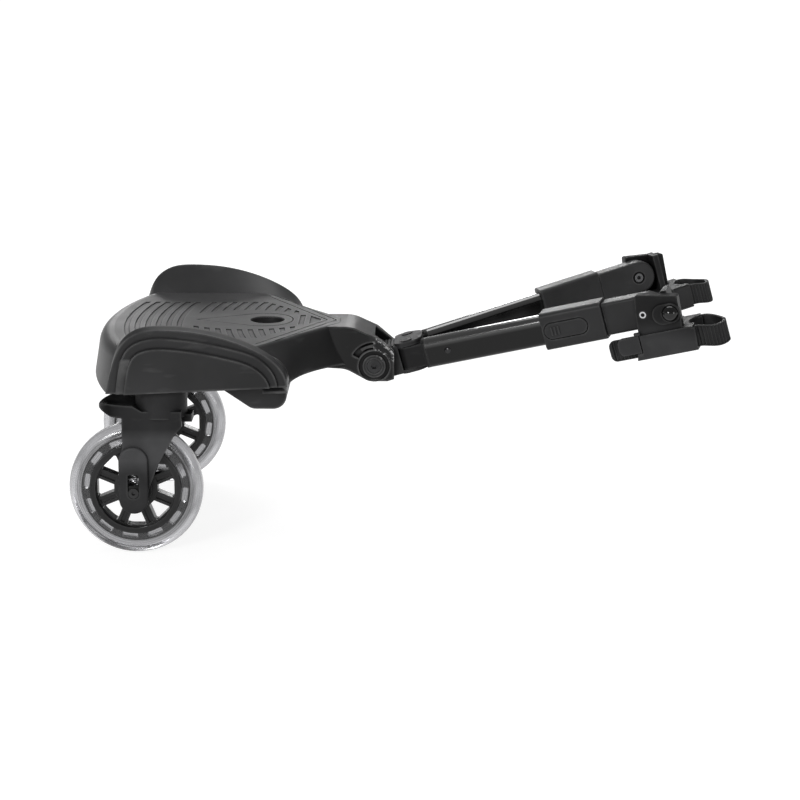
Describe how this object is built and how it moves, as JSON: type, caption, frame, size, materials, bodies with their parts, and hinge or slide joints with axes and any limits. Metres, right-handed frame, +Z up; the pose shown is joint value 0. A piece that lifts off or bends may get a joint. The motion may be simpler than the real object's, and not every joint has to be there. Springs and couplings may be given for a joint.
{
  "type": "buggy board",
  "caption": "Moulded ride-on board with flared sides on sprung swivel casters, towed by splayed telescopic arms with strap-on tube clamps and a tilting hinge.",
  "frame": {"origin": "on the floor under the middle of the bounding box", "axes": "+X forward to the pushchair, +Y left, +Z up"},
  "size_m": [0.5902, 0.303, 0.2371],
  "materials": {
    "deck_plastic": "matt moulded charcoal",
    "moulded_black": "satin moulded black",
    "tube_black": "satin black",
    "steel": "bright",
    "dark_steel": "blackened steel",
    "wheel_black": "satin moulded black",
    "tyre_clear": "clear cast polyurethane",
    "strap_rubber": "matt ribbed rubber",
    "button_gloss": "polished black",
    "bush_nylon": "natural nylon"
  },
  "bodies": {
    "board": {"deck_board": "deck_plastic", "hinge_bolt": "dark_steel", "hinge_nut": "dark_steel", "left_swivel_bush": "bush_nylon", "right_swivel_bush": "bush_nylon"},
    "knuckle": {"hinge_knuckle": "moulded_black", "arm_pins": "dark_steel"},
    "left_arm": {"left_arm_root": "moulded_black", "left_arm_tube": "tube_black", "left_arm_rivet": "dark_steel", "left_arm_sleeve": "moulded_black", "left_sleeve_button_spring": "steel"},
    "left_extension": {"left_arm_extension": "moulded_black", "left_joint_bolt": "steel"},
    "left_sleeve_button": {"left_sleeve_button": "moulded_black"},
    "left_connector": {"left_connector": "moulded_black", "left_strap": "strap_rubber", "left_lock_button_spring": "steel"},
    "left_lock_button": {"left_lock_button": "button_gloss"},
    "left_strap_lever": {"left_strap_lever": "moulded_black"},
    "left_fork": {"left_caster_fork": "moulded_black", "left_swivel_stem": "steel", "left_suspension_springs": "steel"},
    "left_axle": {"left_axle_screw": "steel", "left_axle_sliders": "moulded_black"},
    "left_wheel": {"left_wheel_core": "wheel_black", "left_tyre": "tyre_clear", "left_wheel_bearings": "steel"},
    "right_arm": {"right_arm_root": "moulded_black", "right_arm_tube": "tube_black", "right_arm_rivet": "dark_steel", "right_arm_sleeve": "moulded_black", "right_sleeve_button_spring": "steel"},
    "right_extension": {"right_arm_extension": "moulded_black", "right_joint_bolt": "steel"},
    "right_sleeve_button": {"right_sleeve_button": "moulded_black"},
    "right_connector": {"right_connector": "moulded_black", "right_strap": "strap_rubber", "right_lock_button_spring": "steel"},
    "right_lock_button": {"right_lock_button": "button_gloss"},
    "right_strap_lever": {"right_strap_lever": "moulded_black"},
    "right_fork": {"right_caster_fork": "moulded_black", "right_swivel_stem": "steel", "right_suspension_springs": "steel"},
    "right_axle": {"right_axle_screw": "steel", "right_axle_sliders": "moulded_black"},
    "right_wheel": {"right_wheel_core": "wheel_black", "right_tyre": "tyre_clear", "right_wheel_bearings": "steel"}
  },
  "joints": [
    {"name": "tilt_hinge", "type": "hinge", "parent": "board", "child": "knuckle", "pos_m": [-0.0249, 0, 0.1505], "axis": [0, -1, 0], "range_deg": [-12, 40]},
    {"name": "left_arm_swing", "type": "hinge", "parent": "knuckle", "child": "left_arm", "pos_m": [0.00843, 0.014, 0.15748], "axis": [-0.2622, 0, 0.965], "range_deg": [-10, 20]},
    {"name": "left_arm_slide", "type": "slide", "parent": "left_arm", "child": "left_extension", "axis": [0.9299, 0.2672, 0.2527], "range_m": [0, 0.07]},
    {"name": "left_sleeve_button_press", "type": "slide", "parent": "left_arm", "child": "left_sleeve_button", "axis": [0.2579, -0.9636, 0.0701], "range_m": [0, 0.0022], "stiffness_N_per_m": 900, "springref_m": -0.001, "deforming": ["left_sleeve_button_spring"]},
    {"name": "left_connector_tilt", "type": "hinge", "parent": "left_extension", "child": "left_connector", "pos_m": [0.22046, 0.07493, 0.21509], "axis": [0.2579, -0.9636, 0.0701], "range_deg": [-14, 25]},
    {"name": "left_lock_button_press", "type": "slide", "parent": "left_connector", "child": "left_lock_button", "axis": [0.2579, -0.9636, 0.0701], "range_m": [0, 0.0037], "stiffness_N_per_m": 900, "springref_m": -0.001, "deforming": ["left_lock_button_spring"]},
    {"name": "left_strap_lever_lift", "type": "hinge", "parent": "left_connector", "child": "left_strap_lever", "pos_m": [0.21324, 0.09106, 0.1866], "axis": [0.2622, 0, -0.965], "range_deg": [0, 25], "stiffness_Nm_per_rad": 0.05, "springref_deg": -11.46},
    {"name": "left_caster_swivel", "type": "hinge", "parent": "board", "child": "left_fork", "pos_m": [-0.2111, 0.1165, 0.158], "axis": [0, 0, 1], "continuous": true},
    {"name": "left_axle_slide", "type": "slide", "parent": "left_fork", "child": "left_axle", "axis": [0, 0, 1], "range_m": [0, 0.006], "stiffness_N_per_m": 8000, "springref_m": -0.004, "deforming": ["left_suspension_springs"]},
    {"name": "left_wheel_spin", "type": "hinge", "parent": "left_axle", "child": "left_wheel", "pos_m": [-0.2351, 0.1165, 0.06], "axis": [0, 1, 0], "continuous": true},
    {"name": "right_arm_swing", "type": "hinge", "parent": "knuckle", "child": "right_arm", "pos_m": [0.00843, -0.014, 0.15748], "axis": [0.2622, 0, -0.965], "range_deg": [-10, 20]},
    {"name": "right_arm_slide", "type": "slide", "parent": "right_arm", "child": "right_extension", "axis": [0.9299, -0.2672, 0.2527], "range_m": [0, 0.07]},
    {"name": "right_sleeve_button_press", "type": "slide", "parent": "right_arm", "child": "right_sleeve_button", "axis": [0.2579, 0.9636, 0.0701], "range_m": [0, 0.0022], "stiffness_N_per_m": 900, "springref_m": -0.001, "deforming": ["right_sleeve_button_spring"]},
    {"name": "right_connector_tilt", "type": "hinge", "parent": "right_extension", "child": "right_connector", "pos_m": [0.22046, -0.07493, 0.21509], "axis": [-0.2579, -0.9636, -0.0701], "range_deg": [-14, 25]},
    {"name": "right_lock_button_press", "type": "slide", "parent": "right_connector", "child": "right_lock_button", "axis": [0.2579, 0.9636, 0.0701], "range_m": [0, 0.0037], "stiffness_N_per_m": 900, "springref_m": -0.001, "deforming": ["right_lock_button_spring"]},
    {"name": "right_strap_lever_lift", "type": "hinge", "parent": "right_connector", "child": "right_strap_lever", "pos_m": [0.21324, -0.09106, 0.1866], "axis": [-0.2622, 0, 0.965], "range_deg": [0, 25], "stiffness_Nm_per_rad": 0.05, "springref_deg": -11.46},
    {"name": "right_caster_swivel", "type": "hinge", "parent": "board", "child": "right_fork", "pos_m": [-0.2111, -0.1165, 0.158], "axis": [0, 0, 1], "continuous": true},
    {"name": "right_axle_slide", "type": "slide", "parent": "right_fork", "child": "right_axle", "axis": [0, 0, 1], "range_m": [0, 0.006], "stiffness_N_per_m": 8000, "springref_m": -0.004, "deforming": ["right_suspension_springs"]},
    {"name": "right_wheel_spin", "type": "hinge", "parent": "right_axle", "child": "right_wheel", "pos_m": [-0.2351, -0.1165, 0.06], "axis": [0, 1, 0], "continuous": true}
  ]
}
